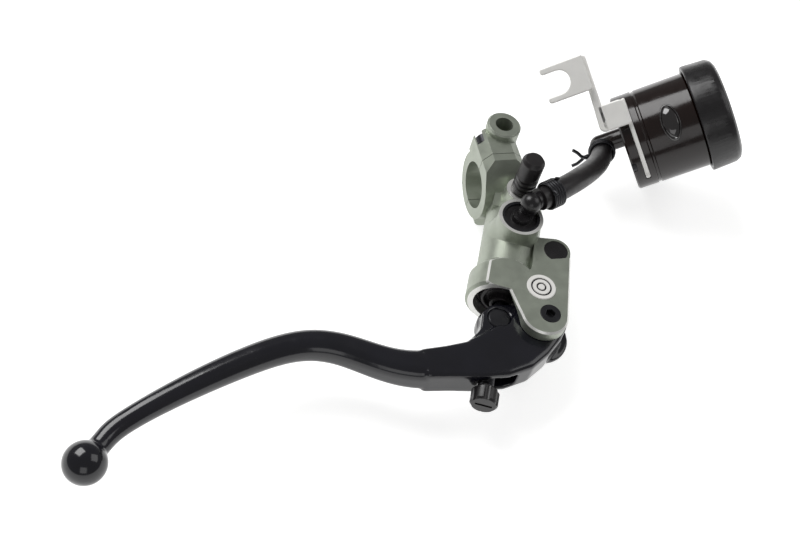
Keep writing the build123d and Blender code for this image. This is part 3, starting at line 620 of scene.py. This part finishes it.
# ---- hydraulic stack ---------------------------------------------------------------------------
class BRAKE_OT_hydraulics(bpy.types.Operator):
    """Piston, seals, spring, washer, ring and dust boot"""

    bl_idname = "brake.hydraulics"
    bl_label = "Hydraulic stack"

    def execute(self, context):
        edge = context.scene.brake_edges.steel_edge
        copy_piece("piston", "piston", "badge", machined(), edge)
        for name in ("primary_seal", "secondary_seal"):
            copy_piece(name, "piston", "rubber", rubber(), 0.0)
        copy_piece("stop_washer", "case", "steel", bright_steel(), edge)
        copy_piece("retaining_ring", "case", "black_steel", dark_steel(), edge)
        spring = copy_piece("return_spring", "case", "steel", bright_steel(), 0.0)
        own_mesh(spring)
        matrix = placed(PISTON_FOOT, PISTON_AXIS)
        outline = [(11.5, -14.5), (11.5, -12.9), (11.2, -12.7), (10.2, -12.7), (9.9, -12.4),
                   (9.5, -10.6), (8.9, -9.9), (8.2, -9.6), (7.4, -9.9), (6.6, -11.2),
                   (6.1, -11.7), (5.5, -11.5), (5.1, -10.6), (4.8, -10.0), (4.7, -7.3),
                   (4.5, -7.1), (3.35, -7.1), (3.25, -7.3), (3.25, -11.1), (4.0, -12.0),
                   (5.8, -12.6), (7.0, -12.0), (8.0, -10.9), (8.6, -10.9), (9.0, -12.6),
                   (9.2, -14.3), (9.4, -14.5)]
        shape = turned(bmesh.new(), matrix, closed_profile(outline), steps=72)
        boot = show("dust_boot_finish", outward(shape), [rubber()], "case", "rubber",
                    ["dust_boot"], edge_angle=60.0)
        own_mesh(boot)
        return {"FINISHED"}


# ---- feed line ---------------------------------------------------------------------------------
class BRAKE_OT_ports(bpy.types.Operator):
    """Feed elbow with its seal and circlip, outlet plug and bleed cap"""

    bl_idname = "brake.ports"
    bl_label = "Port fittings"

    def execute(self, context):
        edges = context.scene.brake_edges
        copy_piece("feed_elbow", "case", "hard_black", moulded(), edges.plastic_edge)
        copy_piece("feed_seal", "case", "rubber", rubber(), 0.0)
        copy_piece("feed_circlip", "case", "black_steel", dark_steel(), edges.steel_edge * 0.5)
        copy_piece("outlet_plug", "case", "hard_black", moulded(), edges.plastic_edge * 0.5)
        low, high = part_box("bleed_cap")
        middle = (low + high) / 2
        tall = (high.z - low.z) / MM
        matrix = placed((middle.x, middle.y, low.z), UP)
        profile = [(0, tall), (3.7, tall), (4.0, tall - 0.1), (5.05, tall - 1.5),
                   (5.2, tall - 2.0), (5.2, 9.6)]
        for band in range(3):
            level = 9.4 - band * 2.6
            profile += [(4.6, level - 0.2), (4.6, level - 0.9), (5.3, level - 1.3),
                        (5.3, level - 2.2)]
        profile += [(5.3, 0), (4.5, 0), (4.5, 4.2), (2.75, 4.8), (2.75, 15.6), (0, 15.6)]
        show("bleed_cap_finish", outward(turned(bmesh.new(), matrix, profile, steps=48)),
             [rubber()], "bleed_cap", "rubber", ["bleed_cap"], edge_angle=24.0)
        return {"FINISHED"}


class BRAKE_OT_hose(bpy.types.Operator):
    """Feed hose, a free length of rubber tube, with its two spring clips"""

    bl_idname = "brake.hose"
    bl_label = "Feed hose and clips"

    def execute(self, context):
        line = bpy.data.curves.new("feed_hose_finish", "CURVE")
        line.dimensions = "3D"
        line.resolution_u = 24
        line.bevel_depth = HOSE_DIAMETER / 2
        line.bevel_resolution = 8
        line.use_fill_caps = True
        run = line.splines.new("NURBS")
        run.points.add(len(HOSE_ROUTE) - 1)
        for point, place in zip(run.points, HOSE_ROUTE):
            point.co = (*place, 1.0)
        run.order_u = 3
        run.use_endpoint_u = True
        line.materials.append(rubber())
        hose = bpy.data.objects.new("feed_hose_finish", line)
        context.scene.collection.objects.link(hose)
        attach(hose, "case")
        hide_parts("feed_hose")
        wire, pitch = 0.7, 1.34
        around = HOSE_DIAMETER / 2 / MM + 0.1 + wire
        # lower clip: five close coils with two short bent ends
        matrix = placed(Vector(HOSE_ROUTE[3]), ELBOW_DIRECTION, UP)
        first, last = 4.4, 4.4 + 4 * pitch
        shape = bmesh.new()
        for turn in range(5):
            wire_ring(shape, matrix, around, wire, first + turn * pitch)
        for height, heading in ((first, 0.35), (last, -0.55)):
            side = Vector((math.cos(heading), math.sin(heading)))
            lean = Vector((-side.y, side.x))
            points = [side * around, side * (around + 1.0) + lean * 0.9,
                      side * (around + 1.2) + lean * 2.4]
            bent_wire(shape, [matrix @ Vector((*(spot * MM), height * MM)) for spot in points],
                      wire)
        lower = show("hose_clip_lower_finish", outward(shape), [dark_steel()], "case",
                     "black_steel", ["hose_clip_lower"], level=False)
        # upper clip: three coils with a claw of two curved prongs
        start = Vector(HOSE_ROUTE[0])
        matrix = placed(start, Vector(HOSE_ROUTE[1]) - start, -TANK_AXIS)
        first, last = 1.3, 1.3 + 2 * pitch
        shape = bmesh.new()
        for turn in range(3):
            wire_ring(shape, matrix, around, wire, first + turn * pitch)
        straight = ((around, 0.0), (8.6, 0.2), (11.0, 1.4), (13.4, 2.4), (16.2, 2.6))
        hooked = ((around, 0.4), (8.2, -0.4), (10.2, -2.2), (11.2, -4.6), (13.0, -7.0))
        for height, spots in ((first, straight), (last, hooked)):
            bent_wire(shape, [matrix @ (Vector((x, y, height)) * MM) for x, y in spots],
                      wire * 1.2)
        upper = show("hose_clip_upper_finish", outward(shape), [dark_steel()], "case",
                     "black_steel", ["hose_clip_upper"], level=False)
        return {"FINISHED"}


# ---- reservoir ---------------------------------------------------------------------------------
class BRAKE_OT_reservoir(bpy.types.Operator):
    """Smoke reservoir, its cap, diaphragm and plate"""

    bl_idname = "brake.reservoir"
    bl_label = "Reservoir"

    def execute(self, context):
        edges = context.scene.brake_edges
        copy_piece("reservoir_body", "case", "smoke", smoke(), edges.plastic_edge)
        # oval sight window with a raised rim, wrapped round the wall
        profile = [(0, 1.0), (4.0, 0.95), (6.6, 0.7), (7.6, 0.25), (8.0, 0.75), (8.3, 0.9),
                   (8.8, 0.85), (9.2, 0.4), (9.3, -0.6), (0, -0.6)]
        shape = outward(turned(bmesh.new(), Matrix.Identity(4), profile, steps=72))
        window_height, window_turn, narrowing = 23.6, -0.07, 0.5
        for vert in shape.verts:
            flat = vert.co / MM
            around = flat.x / TANK_RADIUS + window_turn
            out = TANK_RADIUS + flat.z
            vert.co = in_tank(out * math.cos(around), out * math.sin(around),
                              window_height + flat.y * narrowing)
        show("sight_window", shape, [sight()], "case", "smoke", [], edge_angle=60.0, level=False)
        copy_piece("reservoir_cap", "reservoir_cap", "hard_black", moulded(),
                   edges.plastic_edge * 2)
        copy_piece("reservoir_diaphragm", "diaphragm", "rubber", rubber(), 0.0)
        copy_piece("diaphragm_plate", "diaphragm", "hard_black", moulded(), 0.0)
        return {"FINISHED"}


def panel(shape, outline, origin, right, up, thickness):
    """Flat sheet from corners (right, up, rounding) in millimetres, thickened behind."""
    matrix = placed(origin, right.cross(up), right)
    corners = [shape.verts.new(matrix @ Vector((x * MM, y * MM, 0.0))) for x, y, _ in outline]
    face = shape.faces.new(corners)
    for corner, (_, _, rounding) in zip(corners, outline):
        if rounding:
            bmesh.ops.bevel(shape, geom=[corner], offset=rounding * MM, segments=6, profile=0.5,
                            affect="VERTICES", material=-1)
    shape.faces.ensure_lookup_table()
    face = shape.faces[-1] if not face.is_valid else face
    grown = bmesh.ops.extrude_face_region(shape, geom=[face])
    moved = [item for item in grown["geom"] if isinstance(item, bmesh.types.BMVert)]
    back = (matrix.to_3x3() @ -UP).normalized() * thickness * MM
    bmesh.ops.translate(shape, verts=moved, vec=back)


class BRAKE_OT_bracket(bpy.types.Operator):
    """Bent steel bracket: neck plate, tab, riser and open fork"""

    bl_idname = "brake.bracket"
    bl_label = "Reservoir bracket"

    def execute(self, context):
        edges = context.scene.brake_edges
        tine = edges.tine_radius / MM
        sheet, front, half = 2.0, 25.4, 19.9
        fork_front = front + 5.0
        plate_top, plate_back, neck, neck_steps = 7.0, 9.2, 21.9, 16
        tab_foot, tab_right = -6.5, -half + 12.7
        riser_top, riser_foot = -4.0, -8.6
        fork_left, fork_right, fork_top = -45.6, -28.2, -5.4
        slot_left, slot_right, slot_root, tine_end = -42.4, -31.2, -14.0, -26.6
        # crescent plate round the neck
        plate = [(-half, plate_back, 0), (-half, front, 0.8), (half, front, 2.5),
                 (half, plate_back, 0)]
        for step in range(1, neck_steps):
            side = half - 2 * half * step / neck_steps
            plate.append((side, math.sqrt(neck ** 2 - side ** 2), 0))
        tab = [(-half, plate_top, 3.4), (-half, tab_foot, 0), (tab_right, tab_foot, 3.0),
               (tab_right, plate_top, 1.0)]
        riser = [(tab_right, riser_foot, 3.2), (tab_right, riser_top, 0),
                 (fork_left, riser_top, 1.6), (fork_left, -7.0, 1.0)]
        web = [(fork_left, front - sheet, 0.8), (fork_left, fork_front, 1.4),
               (fork_right, fork_front, 1.4), (fork_right, front - sheet, 0.8)]
        fork = [(fork_left, fork_top, 1.0), (fork_left, tine_end, tine),
                (slot_left, tine_end, tine), (slot_left, slot_root, 5.4),
                (slot_right, slot_root, 5.4), (slot_right, tine_end, tine),
                (fork_right, tine_end, tine), (fork_right, fork_top, 1.0)]
        shape = bmesh.new()
        for outline, origin, up in ((plate, in_tank(0, 0, plate_top), TANK_FRONT),
                                    (tab, in_tank(front, 0, 0), TANK_AXIS),
                                    (riser, in_tank(front, 0, 0), TANK_AXIS),
                                    (web, in_tank(0, 0, fork_top), TANK_FRONT),
                                    (fork, in_tank(fork_front, 0, 0), TANK_AXIS)):
            panel(shape, outline, origin, TANK_ACROSS, up, -sheet)
        show("reservoir_bracket_finish", outward(shape), [bright_steel()], "case", "steel",
             ["reservoir_bracket"], edges.steel_edge * 4)
        return {"FINISHED"}


# ---- stage -------------------------------------------------------------------------------------
def white_behind(tree, lit, strength):
    """Show plain white to the camera and in reflections, lit as usual otherwise."""
    links = tree.links
    rays = node(tree, "ShaderNodeLightPath", (-600, 400))
    glow = node(tree, "ShaderNodeEmission", (-300, -200))
    glow.inputs["Strength"].default_value = strength
    add = node(tree, "ShaderNodeAddShader", (0, 100))
    mix = node(tree, "ShaderNodeMixShader", (200, 100))
    links.new(lit, add.inputs[0])
    links.new(glow.outputs["Emission"], add.inputs[1])
    seen = node(tree, "ShaderNodeMath", (-300, 500), operation="MAXIMUM")
    either = node(tree, "ShaderNodeMath", (-450, 600), operation="MAXIMUM")
    links.new(rays.outputs["Is Camera Ray"], either.inputs[0])
    links.new(rays.outputs["Is Glossy Ray"], either.inputs[1])
    links.new(either.outputs["Value"], seen.inputs[0])
    links.new(rays.outputs["Is Transmission Ray"], seen.inputs[1])
    links.new(seen.outputs["Value"], mix.inputs[0])
    links.new(lit, mix.inputs[1])
    links.new(add.outputs["Shader"], mix.inputs[2])
    return mix.outputs["Shader"]


def soft_light(name, place, target, size, power):
    """Square area light aimed at a point."""
    lamp = bpy.data.lights.new(name, "AREA")
    lamp.size = size
    lamp.energy = power
    holder = bpy.data.objects.new(name, lamp)
    holder.location = place
    aim = (Vector(target) - Vector(place)).to_track_quat("-Z", "Y")
    holder.rotation_euler = aim.to_euler()
    bpy.context.scene.collection.objects.link(holder)
    return holder


class BRAKE_OT_stage(bpy.types.Operator):
    """Pale floor, soft studio lights and camera"""

    bl_idname = "brake.stage"
    bl_label = "Stage"

    def execute(self, context):
        scene = context.scene
        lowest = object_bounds()[0][2]
        shape = bmesh.new()
        bmesh.ops.create_grid(shape, x_segments=1, y_segments=1, size=FLOOR_HALF)
        bmesh.ops.translate(shape, verts=shape.verts, vec=(0.0, 0.0, lowest - FLOOR_DROP))
        mesh = bpy.data.meshes.new("floor")
        shape.to_mesh(mesh)
        shape.free()
        floor = bpy.data.objects.new("floor", mesh)
        scene.collection.objects.link(floor)
        paper = bpy.data.materials.new("floor_paper")
        paper.use_nodes = True
        shader = paper.node_tree.nodes["Principled BSDF"]
        shader.inputs["Base Color"].default_value = FLOOR_COLOUR
        shader.inputs["Roughness"].default_value = 0.9
        output = paper.node_tree.nodes["Material Output"]
        shown = white_behind(paper.node_tree, shader.outputs["BSDF"], FLOOR_GLOW)
        paper.node_tree.links.new(shown, output.inputs["Surface"])
        mesh.materials.append(paper)
        floor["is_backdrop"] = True
        world = scene.world or bpy.data.worlds.new("studio")
        scene.world = world
        world.use_nodes = True
        backdrop = world.node_tree.nodes["Background"]
        backdrop.inputs["Color"].default_value = (1.0, 1.0, 1.0, 1.0)
        rays = node(world.node_tree, "ShaderNodeLightPath", (-600, 0))
        level = node(world.node_tree, "ShaderNodeMapRange", (-300, 0))
        level.inputs["To Min"].default_value = SKY_LEVEL
        level.inputs["To Max"].default_value = 1.0
        world.node_tree.links.new(rays.outputs["Is Camera Ray"], level.inputs["Value"])
        world.node_tree.links.new(level.outputs["Result"], backdrop.inputs["Strength"])
        for name, place, size, power in LIGHTS:
            soft_light(name, place, LIGHT_TARGET, size, power)
        camera = bpy.data.cameras.new("camera")
        camera.lens = CAMERA_LENS
        camera.sensor_width = CAMERA_SENSOR
        camera.clip_start = CAMERA_NEAR
        holder = bpy.data.objects.new("camera", camera)
        turn = Matrix((CAMERA_RIGHT, CAMERA_ABOVE, CAMERA_BEHIND)).transposed().to_4x4()
        turn.translation = CAMERA_PLACE
        holder.matrix_world = turn
        scene.collection.objects.link(holder)
        scene.camera = holder
        scene.view_settings.view_transform = "Standard"
        return {"FINISHED"}


class BRAKE_PT_unit(bpy.types.Panel):
    """Lists the pieces of the brake unit"""

    bl_idname = "BRAKE_PT_unit"
    bl_label = "Brake master cylinder"
    bl_space_type = "VIEW_3D"
    bl_region_type = "UI"
    bl_category = "Brake unit"

    def draw(self, context):
        layout = self.layout
        for settings in (context.scene.brake_finish, context.scene.brake_edges):
            column = layout.column()
            for name in settings.__annotations__:
                column.prop(settings, name)
        for operator in OPERATORS:
            layout.operator(operator.bl_idname)


OPERATORS = (BRAKE_OT_case, BRAKE_OT_badge, BRAKE_OT_fasteners, BRAKE_OT_lever,
             BRAKE_OT_pushrod, BRAKE_OT_hydraulics, BRAKE_OT_ports, BRAKE_OT_hose,
             BRAKE_OT_reservoir, BRAKE_OT_bracket, BRAKE_OT_stage)
CLASSES = (FinishSettings, EdgeSettings) + OPERATORS + (BRAKE_PT_unit,)


def register():
    """Add the settings, operators and panel."""
    for each in CLASSES:
        bpy.utils.register_class(each)
    bpy.types.Scene.brake_finish = bpy.props.PointerProperty(type=FinishSettings)
    bpy.types.Scene.brake_edges = bpy.props.PointerProperty(type=EdgeSettings)


def unregister():
    """Take them away again."""
    del bpy.types.Scene.brake_edges
    del bpy.types.Scene.brake_finish
    for each in reversed(CLASSES):
        bpy.utils.unregister_class(each)


def main():
    """Build every piece in order."""
    register()
    bpy.ops.brake.case()
    bpy.ops.brake.badge()
    bpy.ops.brake.fasteners()
    bpy.ops.brake.lever()
    bpy.ops.brake.pushrod()
    bpy.ops.brake.hydraulics()
    bpy.ops.brake.ports()
    bpy.ops.brake.hose()
    bpy.ops.brake.reservoir()
    bpy.ops.brake.bracket()
    bpy.ops.brake.stage()


if __name__ == "__main__":
    main()
